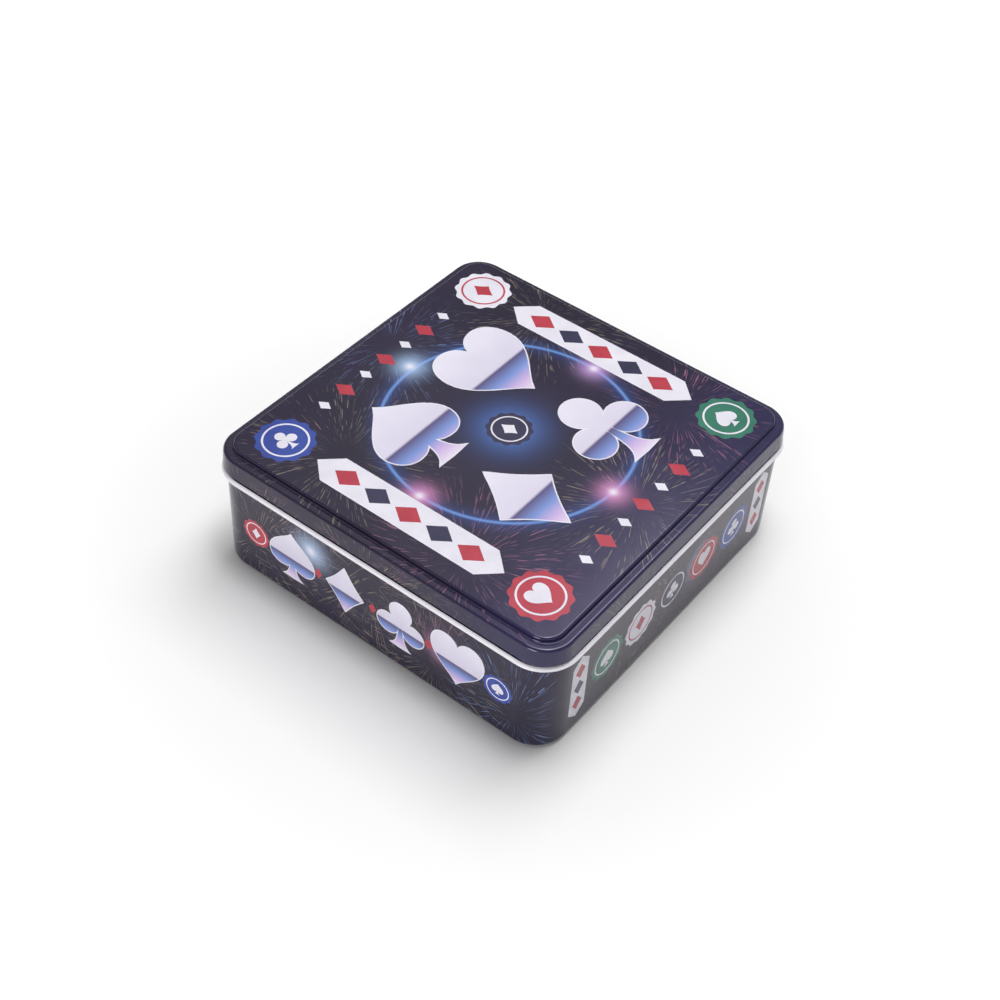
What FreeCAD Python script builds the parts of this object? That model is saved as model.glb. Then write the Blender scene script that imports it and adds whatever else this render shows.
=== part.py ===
import FreeCAD, Part
import math
import os

from FreeCAD import Vector

# Poker set in a square drawn tin: body, slip lid, formed tray, chips, a deck of cards and a dealer button.
# Millimetres, +Z up. The origin is the middle of the underside, where the tin stands, and -Y is the front.
# The layout runs from the inside out: the deck and the chips size the tray, and the tray sizes the tin.

# Chips, lying on edge in two rows
CHIP_DIAMETER = 39.0
CHIP_THICKNESS = 3.2
CHIP_EDGE_ROUND = 0.35
CHIP_LABEL_DIAMETER = 24.0
CHIP_LABEL_DEPTH = 0.2
CHIP_GAP = 0.05
CHIP_CLEARANCE = 0.3
ROW_END_CLEARANCE = 0.5
CHIPS_PER_NODE = 4
LONG_RUN_COUNT = 16
SHORT_RUN_COUNT = 8
LEFT_ROW = (("white", LONG_RUN_COUNT), ("red", LONG_RUN_COUNT), ("green", SHORT_RUN_COUNT))
RIGHT_ROW = (("black", LONG_RUN_COUNT), ("blue", LONG_RUN_COUNT), ("green", SHORT_RUN_COUNT))

# Playing cards, lying flat
CARD_WIDTH = 63.0
CARD_LENGTH = 88.0
CARD_THICKNESS = 0.28
CARD_CORNER_RADIUS = 3.5
CARD_GAP = 0.02
DECK_CLEARANCE = 0.8
DECK_SEAT_GAP = 0.15
DECK_DEPTH_CLEARANCE = 0.6
JOKER_COUNT = 2
CARDS_PER_SUIT = 13
SUITS = (("joker", JOKER_COUNT), *((suit, CARDS_PER_SUIT) for suit in ("spade", "diamond", "club", "heart")))

# Dealer button
BUTTON_DIAMETER = 40.0
BUTTON_THICKNESS = 3.6
BUTTON_EDGE_ROUND = 0.9
BUTTON_LABEL_DIAMETER = 33.0
BUTTON_LABEL_DEPTH = 0.25
BUTTON_CLEARANCE = 0.5
BUTTON_SEAT_GAP = 0.15
BUTTON_POCKET_DEPTH = 8.0

# Formed plastic tray
TRAY_SHEET = 0.6
TRAY_RIB = 2.2
TRAY_BORDER = 3.3
TRAY_EDGE_ROUND = 1.5
TRAY_MOUTH_ROUND = 0.5
MOUTH_ROUND_LIMIT_SHARE = 0.9
TRAY_SEAT_GAP = 0.2
TRAY_MOUTH_CLEARANCE = 0.3
TROUGH_STANDOFF = 14.1
CHIP_SHOW = 9.0
SCOOP_RADIUS = 7.0

# Tinplate, shared by the body and the lid
SHEET = 0.3

# Tin body
BODY_CORNER_RADIUS = 13.8
BASE_ROUND = 3.0
BASE_RECESS = 0.8
BASE_RECESS_DRAFT = 0.8
BASE_RECESS_ROUND = 0.6
STAND_WIDTH = 4.2
BEAD_REACH = 1.9
BEAD_HEIGHT = 1.6
BEAD_ROUND = 0.75
BEAD_ROOT_ROUND = 0.5
NECK_INSET = 0.7
NECK_HEADROOM = 0.3
CURL_WIDTH = 1.6
CURL_DROP = 2.4
CURL_ROUND = 0.7

# Lid
LID_CORNER_RADIUS = 12.0
LID_HEIGHT = 10.1
LID_CLEARANCE = 0.5
SKIRT_GAP = 0.8
CHIP_HEADROOM = 2.5
PANEL_RISE = 2.05
PANEL_ROUND = 0.9
RIM_WIDTH = 3.9
GROOVE_DEPTH = 0.1
GROOVE_DRAFT = 0.25
GROOVE_ROUND = 0.6
SHOULDER_ROUND = 1.3
HEM_WIDTH = 1.0
HEM_HEIGHT = 1.8
HEM_ROUND = 0.48

# How far a cutting shape runs past what it cuts
OVERRUN = 1.0


def half_width_round(x, y, radius):
    """Half the width of the smallest square with corners of a radius that has a point at x, y in it."""
    if abs(x - y) >= radius:
        return max(x, y)
    corner_centre = (x + y - math.sqrt(2 * radius**2 - (x - y) ** 2)) / 2
    return corner_centre + radius


# Plan, worked out from the middle to the tin's wall
CHIP_RADIUS = CHIP_DIAMETER / 2
CHIP_PITCH = CHIP_THICKNESS + CHIP_GAP
TROUGH_RADIUS = CHIP_RADIUS + CHIP_CLEARANCE
CHIPS_PER_ROW = max(sum(count for _, count in row) for row in (LEFT_ROW, RIGHT_ROW))
TROUGH_HALF_LENGTH = CHIPS_PER_ROW * CHIP_PITCH / 2 + ROW_END_CLEARANCE
DECK_HALF_WIDTH = CARD_WIDTH / 2 + DECK_CLEARANCE
DECK_HALF_LENGTH = CARD_LENGTH / 2 + DECK_CLEARANCE
BUTTON_POCKET_RADIUS = BUTTON_DIAMETER / 2 + BUTTON_CLEARANCE
COLUMN_HALF_WIDTH = max(DECK_HALF_WIDTH, BUTTON_POCKET_RADIUS + SCOOP_RADIUS)
TROUGH_X = COLUMN_HALF_WIDTH + TRAY_RIB + TROUGH_RADIUS
COLUMN_HALF_LENGTH = DECK_HALF_LENGTH + BUTTON_POCKET_RADIUS + (SCOOP_RADIUS + TRAY_RIB) / 2
DECK_Y = COLUMN_HALF_LENGTH - DECK_HALF_LENGTH
BUTTON_Y = BUTTON_POCKET_RADIUS - COLUMN_HALF_LENGTH
TRAY_CORNER_RADIUS = BODY_CORNER_RADIUS - NECK_INSET - CURL_WIDTH - TRAY_MOUTH_CLEARANCE
ROWS_HALF = half_width_round(
    TROUGH_X + TROUGH_RADIUS, TROUGH_HALF_LENGTH, max(TRAY_CORNER_RADIUS - TRAY_BORDER, 0)
)
TRAY_HALF = max(ROWS_HALF, COLUMN_HALF_LENGTH) + TRAY_BORDER
MOUTH_HALF = TRAY_HALF + TRAY_MOUTH_CLEARANCE
NECK_HALF = MOUTH_HALF + CURL_WIDTH
WALL_HALF = NECK_HALF + NECK_INSET
BODY_CORNER_CENTRE = WALL_HALF - BODY_CORNER_RADIUS
LID_CORNER_CENTRE = WALL_HALF - LID_CORNER_RADIUS
SKIRT_HALF = NECK_HALF + LID_CLEARANCE + HEM_WIDTH
PANEL_HALF = WALL_HALF - RIM_WIDTH
STAND_HALF = WALL_HALF - BASE_ROUND - STAND_WIDTH
RECESS_HALF = STAND_HALF - BASE_RECESS_DRAFT
BODY_SEAM_HALF = (BODY_CORNER_CENTRE + RECESS_HALF) / 2
LID_SEAM_HALF = (LID_CORNER_CENTRE + PANEL_HALF) / 2

# Heights, worked out from the floor to the lid's panel
FLOOR_Z = BASE_RECESS + SHEET
TRAY_Z = FLOOR_Z + TRAY_SEAT_GAP
CHIP_AXIS_Z = TRAY_Z + TROUGH_STANDOFF + TRAY_SHEET + TROUGH_RADIUS
CHIP_TOP_Z = CHIP_AXIS_Z + CHIP_RADIUS
DECK_PITCH = CARD_THICKNESS + CARD_GAP
DECK_HEIGHT = DECK_PITCH * sum(count for _, count in SUITS)
TRAY_TOP_Z = CHIP_TOP_Z - CHIP_SHOW
DECK_FLOOR_Z = TRAY_TOP_Z - DECK_HEIGHT - DECK_SEAT_GAP - DECK_DEPTH_CLEARANCE
BUTTON_FLOOR_Z = TRAY_TOP_Z - BUTTON_POCKET_DEPTH
PANEL_Z = CHIP_TOP_Z + CHIP_HEADROOM + SHEET
SHOULDER_Z = PANEL_Z - PANEL_RISE
GROOVE_Z = SHOULDER_Z - GROOVE_DEPTH
SKIRT_Z = PANEL_Z - LID_HEIGHT
BEAD_TOP_Z = SKIRT_Z - SKIRT_GAP
BEAD_BOTTOM_Z = BEAD_TOP_Z - BEAD_HEIGHT
NECK_TOP_Z = GROOVE_Z - SHEET - NECK_HEADROOM


def between(first, second):
    """The unit direction from one (reach, height) point to another, and the distance."""
    reach, height = second[0] - first[0], second[1] - first[1]
    length = math.hypot(reach, height)
    return (reach / length, height / length), length


def held_to_runs(points):
    """The points with each rounding small enough for its arc to keep to half of the runs beside it."""
    held = [points[0]]
    for before, (reach, height, rounding), after in zip(points, points[1:], points[2:]):
        arriving, run_before = between(before, (reach, height))
        leaving, run_after = between((reach, height), after)
        cosine = arriving[0] * leaving[0] + arriving[1] * leaving[1]
        half_turn = math.acos(max(-1, min(1, cosine))) / 2
        held.append((reach, height, min(rounding, min(run_before, run_after) / 2 / math.tan(half_turn))))
    return held + [points[-1]]


def rounded_path(points):
    """Edges of a line through (reach, height, rounding) points in the XZ plane, each rounding an arc."""
    places = [Vector(reach, 0, height) for reach, height, _ in points]
    edges = []
    start = places[0]
    for index in range(1, len(places) - 1):
        corner, rounding = places[index], points[index][2]
        if rounding <= 0:
            edges.append(Part.LineSegment(start, corner).toShape())
            start = corner
            continue
        back = (places[index - 1] - corner).normalize()
        onward = (places[index + 1] - corner).normalize()
        half_angle = back.getAngle(onward) / 2
        setback = rounding / math.tan(half_angle)
        arc_start = corner + back * setback
        arc_end = corner + onward * setback
        middle = corner + (back + onward).normalize() * (rounding / math.sin(half_angle) - rounding)
        if not start.isEqual(arc_start, Part.Precision.confusion()):
            edges.append(Part.LineSegment(start, arc_start).toShape())
        edges.append(Part.Arc(arc_start, middle, arc_end).toShape())
        start = arc_end
    edges.append(Part.LineSegment(start, places[-1]).toShape())
    return edges


def moved_left(points, distance):
    """The path moved to the left of its direction of travel, each rounding grown or shrunk to suit."""
    directions = [between(first, second)[0] for first, second in zip(points, points[1:])]
    moved = []
    for index, (reach, height, rounding) in enumerate(points):
        before = directions[max(index - 1, 0)]
        after = directions[min(index, len(directions) - 1)]
        turn = before[0] * after[1] - before[1] * after[0]
        spread = 1 + before[0] * after[0] + before[1] * after[1]
        moved.append((
            reach - distance * (before[1] + after[1]) / spread,
            height + distance * (before[0] + after[0]) / spread,
            max(rounding - math.copysign(distance, turn), 0) if rounding else 0,
        ))
    return moved


def sheet_section(points):
    """A face: tinplate of one thickness whose outer side follows the points."""
    outer = held_to_runs(points)
    inner = moved_left(outer, SHEET)
    ends = [
        Part.LineSegment(Vector(a[0], 0, a[1]), Vector(b[0], 0, b[1])).toShape()
        for a, b in ((outer[0], inner[0]), (outer[-1], inner[-1]))
    ]
    edges = rounded_path(outer) + rounded_path(inner) + ends
    return Part.Face(Part.Wire(Part.sortEdges(edges)[0]))


def turned_four_ways(shape):
    quarter = 90
    turned = []
    for side in range(4):
        copy = shape.copy()
        copy.rotate(Vector(0, 0, 0), Vector(0, 0, 1), side * quarter)
        turned.append(copy)
    return turned


def rounded_square_ring(section, corner_centre):
    """Carries a section face round the tin: four straight sides and four quarter turns, as one solid."""
    side = section.copy()
    side.translate(Vector(0, -corner_centre, 0))
    side = side.extrude(Vector(0, corner_centre * 2, 0))
    corner = section.copy()
    corner.translate(Vector(0, corner_centre, 0))
    corner = corner.revolve(Vector(corner_centre, corner_centre, 0), Vector(0, 0, 1), 90)
    pieces = turned_four_ways(side) + turned_four_ways(corner)
    return pieces[0].multiFuse(pieces[1:])


def rounded_rectangle(half_x, half_y, radius, bottom, height):
    """A flat-bottomed block with rounded upright edges, centred on the origin in plan."""
    block = Part.makeBox(half_x * 2, half_y * 2, height, Vector(-half_x, -half_y, bottom))
    if radius <= 0:
        return block
    upright = [e for e in block.Edges if abs(e.tangentAt(e.FirstParameter).z) > math.sqrt(0.5)]
    return block.makeFillet(radius, upright)


def middle_plate(seam_half, corner_centre, bottom):
    """The flat sheet inside the ring's seam."""
    return rounded_rectangle(seam_half, seam_half, seam_half - corner_centre, bottom, SHEET)


def one_solid(shape):
    """The shape with its coplanar faces joined, which has to be a single closed solid."""
    joined = shape.removeSplitter()
    assert len(joined.Solids) == 1 and joined.isValid(), "a piece came out in parts"
    return joined.Solids[0]


def make_body():
    """Drawn body: recessed base, upright wall, rolled bead that stops the lid, neck and inward curl."""
    bead_half = WALL_HALF + BEAD_REACH
    path = (
        (BODY_SEAM_HALF, BASE_RECESS, 0),
        (RECESS_HALF, BASE_RECESS, BASE_RECESS_ROUND),
        (STAND_HALF, 0, BASE_RECESS_ROUND),
        (WALL_HALF, 0, BASE_ROUND),
        (WALL_HALF, BEAD_BOTTOM_Z, BEAD_ROOT_ROUND),
        (bead_half, BEAD_BOTTOM_Z, BEAD_ROUND),
        (bead_half, BEAD_TOP_Z, BEAD_ROUND),
        (NECK_HALF, BEAD_TOP_Z, BEAD_ROOT_ROUND),
        (NECK_HALF, NECK_TOP_Z, CURL_ROUND),
        (MOUTH_HALF, NECK_TOP_Z, CURL_ROUND),
        (MOUTH_HALF, NECK_TOP_Z - CURL_DROP, 0),
    )
    ring = rounded_square_ring(sheet_section(path), BODY_CORNER_CENTRE)
    return one_solid(ring.fuse(middle_plate(BODY_SEAM_HALF, BODY_CORNER_CENTRE, BASE_RECESS)))


def make_lid():
    """Slip lid: raised panel, groove and rounded shoulder, flared skirt with its edge hemmed inward."""
    hem_half = SKIRT_HALF - HEM_WIDTH
    path = (
        (hem_half, SKIRT_Z + HEM_HEIGHT, 0),
        (hem_half, SKIRT_Z, HEM_ROUND),
        (SKIRT_HALF, SKIRT_Z, HEM_ROUND),
        (WALL_HALF, SHOULDER_Z, SHOULDER_ROUND),
        (PANEL_HALF + GROOVE_DRAFT, GROOVE_Z, GROOVE_ROUND),
        (PANEL_HALF, PANEL_Z, PANEL_ROUND),
        (LID_SEAM_HALF, PANEL_Z, 0),
    )
    ring = rounded_square_ring(sheet_section(path), LID_CORNER_CENTRE)
    return one_solid(ring.fuse(middle_plate(LID_SEAM_HALF, LID_CORNER_CENTRE, PANEL_Z - SHEET)))


def trough(x, grow):
    """A chip trough's space, or with grow its outside: half round, and straight above its axis."""
    radius = TROUGH_RADIUS + grow
    half_length = TROUGH_HALF_LENGTH + grow
    top = TRAY_TOP_Z + (0 if grow else OVERRUN)
    left = Vector(x - radius, -half_length, CHIP_AXIS_Z)
    right = Vector(x + radius, -half_length, CHIP_AXIS_Z)
    lowest = Vector(x, -half_length, CHIP_AXIS_Z - radius)
    top_left, top_right = Vector(left.x, left.y, top), Vector(right.x, right.y, top)
    edges = [Part.Arc(left, lowest, right).toShape()]
    corners = (right, top_right, top_left, left)
    edges += [Part.LineSegment(a, b).toShape() for a, b in zip(corners, corners[1:])]
    return Part.Face(Part.Wire(edges)).extrude(Vector(0, half_length * 2, 0))


def pocket_height(floor, grow):
    return TRAY_TOP_Z - floor + (grow if grow else OVERRUN)


def deck_pocket(grow):
    """The deck's pocket with a thumb scoop at its front end."""
    bottom = DECK_FLOOR_Z - grow
    height = pocket_height(DECK_FLOOR_Z, grow)
    half_width, half_length = DECK_HALF_WIDTH + grow, DECK_HALF_LENGTH + grow
    radius = CARD_CORNER_RADIUS + DECK_CLEARANCE + grow
    well = rounded_rectangle(half_width, half_length, radius, bottom, height)
    scoop_place = Vector(0, -DECK_HALF_LENGTH, bottom)
    pocket = well.fuse(Part.makeCylinder(SCOOP_RADIUS + grow, height, scoop_place))
    pocket.translate(Vector(0, DECK_Y, 0))
    return pocket


def button_pocket(grow):
    """The dealer button's round pocket with a finger scoop at each side."""
    bottom = BUTTON_FLOOR_Z - grow
    height = pocket_height(BUTTON_FLOOR_Z, grow)
    pocket = Part.makeCylinder(BUTTON_POCKET_RADIUS + grow, height, Vector(0, BUTTON_Y, bottom))
    for side in (-1, 1):
        place = Vector(side * BUTTON_POCKET_RADIUS, BUTTON_Y, bottom)
        pocket = pocket.fuse(Part.makeCylinder(SCOOP_RADIUS + grow, height, place))
    return pocket


def inside_border(edge):
    """Whether an edge of the tray's top lies clear of the rounded outer edge."""
    box = edge.BoundBox
    reach = max(abs(box.XMin), abs(box.XMax), abs(box.YMin), abs(box.YMax))
    return reach < TRAY_HALF - TRAY_EDGE_ROUND - TRAY_SHEET / 2


def make_tray():
    """Formed tray: a top deck with a skirt down to the tin's floor, and pockets hanging from the deck."""
    height = TRAY_TOP_Z - TRAY_Z
    block = rounded_rectangle(TRAY_HALF, TRAY_HALF, TRAY_CORNER_RADIUS, TRAY_Z, height)
    top_edges = [e for e in block.Edges if e.BoundBox.ZMin > TRAY_TOP_Z - TRAY_SHEET]
    block = block.makeFillet(TRAY_EDGE_ROUND, top_edges)
    inner_half = TRAY_HALF - TRAY_SHEET
    inner_radius = TRAY_CORNER_RADIUS - TRAY_SHEET
    hollow = rounded_rectangle(
        inner_half, inner_half, inner_radius, TRAY_Z - OVERRUN, height - TRAY_SHEET + OVERRUN
    )
    if TRAY_EDGE_ROUND > TRAY_SHEET:
        hollow_top = [e for e in hollow.Edges if e.BoundBox.ZMin > TRAY_TOP_Z - TRAY_SHEET * 2]
        hollow = hollow.makeFillet(TRAY_EDGE_ROUND - TRAY_SHEET, hollow_top)
    makers = (
        lambda grow: trough(-TROUGH_X, grow),
        lambda grow: trough(TROUGH_X, grow),
        deck_pocket,
        button_pocket,
    )
    walls = [make(TRAY_SHEET) for make in makers]
    spaces = [make(0) for make in makers]
    tray = one_solid(block.cut(hollow).multiFuse(walls).cut(Part.makeCompound(spaces)))
    mouth_round = min(TRAY_MOUTH_ROUND, TRAY_SHEET * MOUTH_ROUND_LIMIT_SHARE)
    mouths = [e for e in tray.Edges if e.BoundBox.ZMin > TRAY_TOP_Z - mouth_round and inside_border(e)]
    return one_solid(tray.makeFillet(mouth_round, mouths))


def turned_disc(radius, thickness, edge_round, label_radius, label_depth):
    """A disc about the Z axis, centred on the origin, with rounded edges and a sunk label on both faces."""
    half = thickness / 2
    profile = rounded_path((
        (label_radius, -half, 0),
        (radius, -half, edge_round),
        (radius, half, edge_round),
        (label_radius, half, 0),
    ))
    sunk = half - label_depth
    corners = (
        Vector(label_radius, 0, half),
        Vector(label_radius, 0, sunk),
        Vector(0, 0, sunk),
        Vector(0, 0, -sunk),
        Vector(label_radius, 0, -sunk),
        Vector(label_radius, 0, -half),
    )
    profile += [Part.LineSegment(a, b).toShape() for a, b in zip(corners, corners[1:])]
    face = Part.Face(Part.Wire(Part.sortEdges(profile)[0]))
    return face.revolve(Vector(0, 0, 0), Vector(0, 0, 1), 360).Solids[0]


def make_chip_rows():
    """Node name to its chips: each row runs from the front to the back, a few chips to a node."""
    chip = turned_disc(
        CHIP_RADIUS, CHIP_THICKNESS, CHIP_EDGE_ROUND, CHIP_LABEL_DIAMETER / 2, CHIP_LABEL_DEPTH
    )
    chip.rotate(Vector(0, 0, 0), Vector(1, 0, 0), 90)
    nodes = {}
    made = {}
    for x, row in ((-TROUGH_X, LEFT_ROW), (TROUGH_X, RIGHT_ROW)):
        place_in_row = 0
        for colour, count in row:
            for _ in range(count):
                number = made.get(colour, 0) // CHIPS_PER_NODE + 1
                y = (place_in_row + 0.5 - CHIPS_PER_ROW / 2) * CHIP_PITCH
                placed = chip.copy()
                placed.translate(Vector(x, y, CHIP_AXIS_Z))
                nodes.setdefault(f"{colour}_chips_{number}", []).append(placed)
                made[colour] = made.get(colour, 0) + 1
                place_in_row += 1
    return nodes


def make_cards():
    """Node name to its cards: the deck lies face down in its pocket, suit by suit."""
    nodes = {}
    bottom = DECK_FLOOR_Z + DECK_SEAT_GAP
    for suit, count in SUITS:
        for _ in range(count):
            card = rounded_rectangle(
                CARD_WIDTH / 2, CARD_LENGTH / 2, CARD_CORNER_RADIUS, bottom, CARD_THICKNESS
            )
            card.translate(Vector(0, DECK_Y, 0))
            nodes.setdefault(f"{suit}_cards", []).append(card)
            bottom += DECK_PITCH
    return nodes


def make_dealer_button():
    button = turned_disc(
        BUTTON_DIAMETER / 2,
        BUTTON_THICKNESS,
        BUTTON_EDGE_ROUND,
        BUTTON_LABEL_DIAMETER / 2,
        BUTTON_LABEL_DEPTH,
    )
    button.translate(Vector(0, BUTTON_Y, BUTTON_FLOOR_Z + BUTTON_SEAT_GAP + BUTTON_THICKNESS / 2))
    return button


def main():
    nodes = {
        "tin_body": [make_body()],
        "tin_lid": [make_lid()],
        "chip_tray": [make_tray()],
        "dealer_button": [make_dealer_button()],
    }
    nodes.update(make_chip_rows())
    nodes.update(make_cards())
    os.makedirs("parts", exist_ok=True)
    for name, solids in nodes.items():
        shape = solids[0] if len(solids) == 1 else Part.makeCompound(solids)
        shape.exportStep(os.path.join("parts", name + ".step"))
    print(f"{len(nodes)} nodes, {sum(len(s) for s in nodes.values())} solids")
    print(f"tin {2 * WALL_HALF:.2f} square at its wall, {PANEL_Z:.2f} high")
    print(f"tray top {TRAY_TOP_Z:.2f}, chip tops {CHIP_TOP_Z:.2f}, deck floor {DECK_FLOOR_Z:.2f}")


main()
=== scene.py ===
import math

import bmesh
import bpy
import numpy as np
from mathutils import Matrix, Vector
from mathutils.geometry import delaunay_2d_cdt


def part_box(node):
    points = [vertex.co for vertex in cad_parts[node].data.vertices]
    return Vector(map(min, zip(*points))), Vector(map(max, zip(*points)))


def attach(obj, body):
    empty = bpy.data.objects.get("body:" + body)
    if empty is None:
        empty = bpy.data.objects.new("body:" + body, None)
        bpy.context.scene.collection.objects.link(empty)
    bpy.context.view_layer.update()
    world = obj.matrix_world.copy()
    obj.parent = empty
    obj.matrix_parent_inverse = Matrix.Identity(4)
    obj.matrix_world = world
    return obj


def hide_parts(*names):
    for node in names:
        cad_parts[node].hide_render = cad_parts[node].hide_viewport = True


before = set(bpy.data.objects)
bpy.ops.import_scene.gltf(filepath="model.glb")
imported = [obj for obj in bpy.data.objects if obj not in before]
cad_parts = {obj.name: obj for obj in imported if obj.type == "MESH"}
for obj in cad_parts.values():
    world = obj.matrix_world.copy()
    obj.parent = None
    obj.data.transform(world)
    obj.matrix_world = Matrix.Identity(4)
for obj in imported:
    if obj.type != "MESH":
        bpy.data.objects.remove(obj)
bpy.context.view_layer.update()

MM = 0.001

# Sizes of the tin, in metres: the outer ones come from the frame, the rest are the sheet's own
LID_LOW, LID_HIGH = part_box("tin_lid")
_, BODY_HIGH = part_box("tin_body")
PANEL_Z = LID_HIGH.z
SKIRT_Z = LID_LOW.z
SKIRT_HALF = LID_HIGH.x
BEAD_HALF = BODY_HIGH.x
NECK_TOP_Z = BODY_HIGH.z
WALL_HALF = 80.0 * MM
BODY_CORNER_RADIUS = 13.8 * MM
LID_CORNER_RADIUS = 12.0 * MM
BODY_CORNER_CENTRE = WALL_HALF - BODY_CORNER_RADIUS
LID_CORNER_CENTRE = WALL_HALF - LID_CORNER_RADIUS
SHEET = 0.3 * MM
NEAR = 1e-6
BASE_ROUND = 3.0 * MM
STAND_WIDTH = 4.2 * MM
BASE_RECESS = 0.8 * MM
BASE_RECESS_ROUND = 0.6 * MM
BASE_FLAT_EDGE = 1.0 * MM
BEAD_HEIGHT = 1.6 * MM
BEAD_ROUND = 0.75 * MM
BEAD_ROOT_ROUND = 0.5 * MM
SKIRT_GAP = 0.8 * MM
NECK_HALF = 79.3 * MM
MOUTH_HALF = 77.7 * MM
CURL_DROP = 2.4 * MM
CURL_ROUND = 0.7 * MM
PANEL_HALF = 76.1 * MM
PANEL_RISE = 2.05 * MM
PANEL_ROUND = 0.9 * MM
GROOVE_DEPTH = 0.1 * MM
GROOVE_DRAFT = 0.25 * MM
GROOVE_ROUND = 0.6 * MM
SHOULDER_ROUND = 1.3 * MM
HEM_WIDTH = 1.0 * MM
HEM_HEIGHT = 1.8 * MM
HEM_ROUND = 0.48 * MM
BEAD_TOP_Z = SKIRT_Z - SKIRT_GAP
BEAD_BOTTOM_Z = BEAD_TOP_Z - BEAD_HEIGHT
SHOULDER_Z = PANEL_Z - PANEL_RISE
ARC_STEPS = 6
TURN_STEPS = 18

# The four corners, seen from above and anticlockwise from the back right one
CORNER_SIGNS = ((1, 1), (-1, 1), (-1, -1), (1, -1))

# White enamel covers the bead from its lower part up to just under the skirt; the bead's top under the
# skirt and the neck take the dark ground, a painted shade for the gap under the lid's edge
ENAMEL_TUCK = 0.2 * MM
ENAMEL_HALF = SKIRT_HALF - ENAMEL_TUCK
ENAMEL_Z = BEAD_BOTTOM_Z + BEAD_ROUND * 0.75
ENAMEL_LEAN = Vector((0.7, 0.7))
ENAMEL_EVENNESS = 0.7


class Graph:
    """A material's node tree, with short calls that make nodes and give back their output sockets."""

    def __init__(self, name):
        self.material = bpy.data.materials.new(name)
        self.material.use_nodes = True
        self.tree = self.material.node_tree
        self.tree.nodes.clear()
        self.output = self.tree.nodes.new("ShaderNodeOutputMaterial")

    def put(self, socket, value):
        if isinstance(value, bpy.types.NodeSocket):
            self.tree.links.new(value, socket)
        elif value is not None:
            lacks_alpha = socket.type == "RGBA" and len(value) == 3
            socket.default_value = (*value, 1) if lacks_alpha else value

    def node(self, kind, settings=None, **inputs):
        node = self.tree.nodes.new(kind)
        for key, value in (settings or {}).items():
            setattr(node, key, value)
        for key, value in inputs.items():
            self.put(node.inputs[key.replace("_", " ")], value)
        return node

    def math(self, operation, a, b=None, c=None):
        node = self.tree.nodes.new("ShaderNodeMath")
        node.operation = operation
        for socket, value in zip(node.inputs, (a, b, c)):
            self.put(socket, value)
        return node.outputs[0]

    def vector(self, operation, a, b=None, scale=None):
        node = self.tree.nodes.new("ShaderNodeVectorMath")
        node.operation = operation
        self.put(node.inputs[0], a)
        self.put(node.inputs[1], b)
        if scale is not None:
            self.put(node.inputs["Scale"], scale)
        return node.outputs["Value" if operation in ("LENGTH", "DISTANCE") else "Vector"]

    def product(self, first, *others):
        for other in others:
            first = self.math("MULTIPLY", first, other)
        return first

    def apart(self, a, b):
        """How far a number is from another."""
        return self.math("ABSOLUTE", self.math("SUBTRACT", a, b))

    def split(self, vector):
        return self.node("ShaderNodeSeparateXYZ", Vector=vector).outputs

    def join(self, x, y, z=0.0):
        return self.node("ShaderNodeCombineXYZ", X=x, Y=y, Z=z).outputs[0]

    def place(self):
        return self.node("ShaderNodeTexCoord").outputs["Object"]

    def blend(self, factor, a, b, kind="MIX"):
        node = self.tree.nodes.new("ShaderNodeMix")
        node.data_type = "RGBA"
        node.blend_type = kind
        self.put(node.inputs["Factor"], factor)
        self.put(node.inputs[6], a)
        self.put(node.inputs[7], b)
        return node.outputs[2]

    def shaded(self, colour, tone):
        """A colour times a grey tone."""
        return self.blend(1.0, colour, self.join(tone, tone, tone), "MULTIPLY")

    def noise(self, vector, scale, detail=2.0):
        return self.node("ShaderNodeTexNoise", Vector=vector, Scale=scale, Detail=detail).outputs["Fac"]

    def between(self, value, low, high, to_low=0.0, to_high=1.0, smooth=True):
        node = self.node("ShaderNodeMapRange", {"interpolation_type": "SMOOTHSTEP" if smooth else "LINEAR"})
        for socket, number in zip(node.inputs, (value, low, high, to_low, to_high)):
            self.put(socket, number)
        return node.outputs[0]

    def ramp(self, factor, stops):
        node = self.node("ShaderNodeValToRGB", Fac=factor)
        elements = node.color_ramp.elements
        while len(elements) < len(stops):
            elements.new(0.5)
        for element, (position, colour) in zip(elements, stops):
            element.position = position
            element.color = (*colour, 1)
        return node.outputs["Color"]

    def bell(self, distance, width):
        """1 where a distance is nought, falling away smoothly over a width."""
        ratio = self.math("DIVIDE", distance, width)
        return self.math("POWER", math.e, self.product(ratio, ratio, -1.0))

    def surface(self, colour, roughness, relief, relief_height, **inputs):
        """Ends the tree in a shader with a bump, and gives back the material."""
        bump = self.node("ShaderNodeBump", Height=relief, Distance=relief_height).outputs[0]
        shader = self.node(
            "ShaderNodeBsdfPrincipled", Base_Color=colour, Roughness=roughness, Normal=bump, **inputs
        )
        self.put(self.output.inputs["Surface"], shader.outputs[0])
        return self.material


LACQUER_RELIEF = 0.03 * MM
LACQUER_TINT = (0.88, 0.83, 1.0)
BODY_GLOSS = 0.46
LID_GLOSS = 0.58


def lacquered(graph, colour, gloss):
    """Print under clear lacquer on tinplate: a fine orange peel, and sheet that isn't quite flat."""
    place = graph.place()
    grain = graph.noise(place, scale=2600.0)
    cloud = graph.noise(place, scale=90.0, detail=3.0)
    tone = graph.between(graph.math("ADD", grain, cloud), 0.6, 1.4, 0.94, 1.05, smooth=False)
    roughness = graph.between(cloud, 0.3, 0.7, 0.15, 0.20, smooth=False)
    wave = graph.noise(place, scale=22.0, detail=1.0)
    peel = graph.noise(place, scale=900.0, detail=1.0)
    relief = graph.math("ADD", graph.math("MULTIPLY", wave, 8.0), graph.math("MULTIPLY", peel, 0.06))
    return graph.surface(
        graph.shaded(colour, tone),
        roughness,
        relief,
        LACQUER_RELIEF,
        Specular_IOR_Level=gloss,
        Specular_Tint=LACQUER_TINT,
    )
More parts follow.
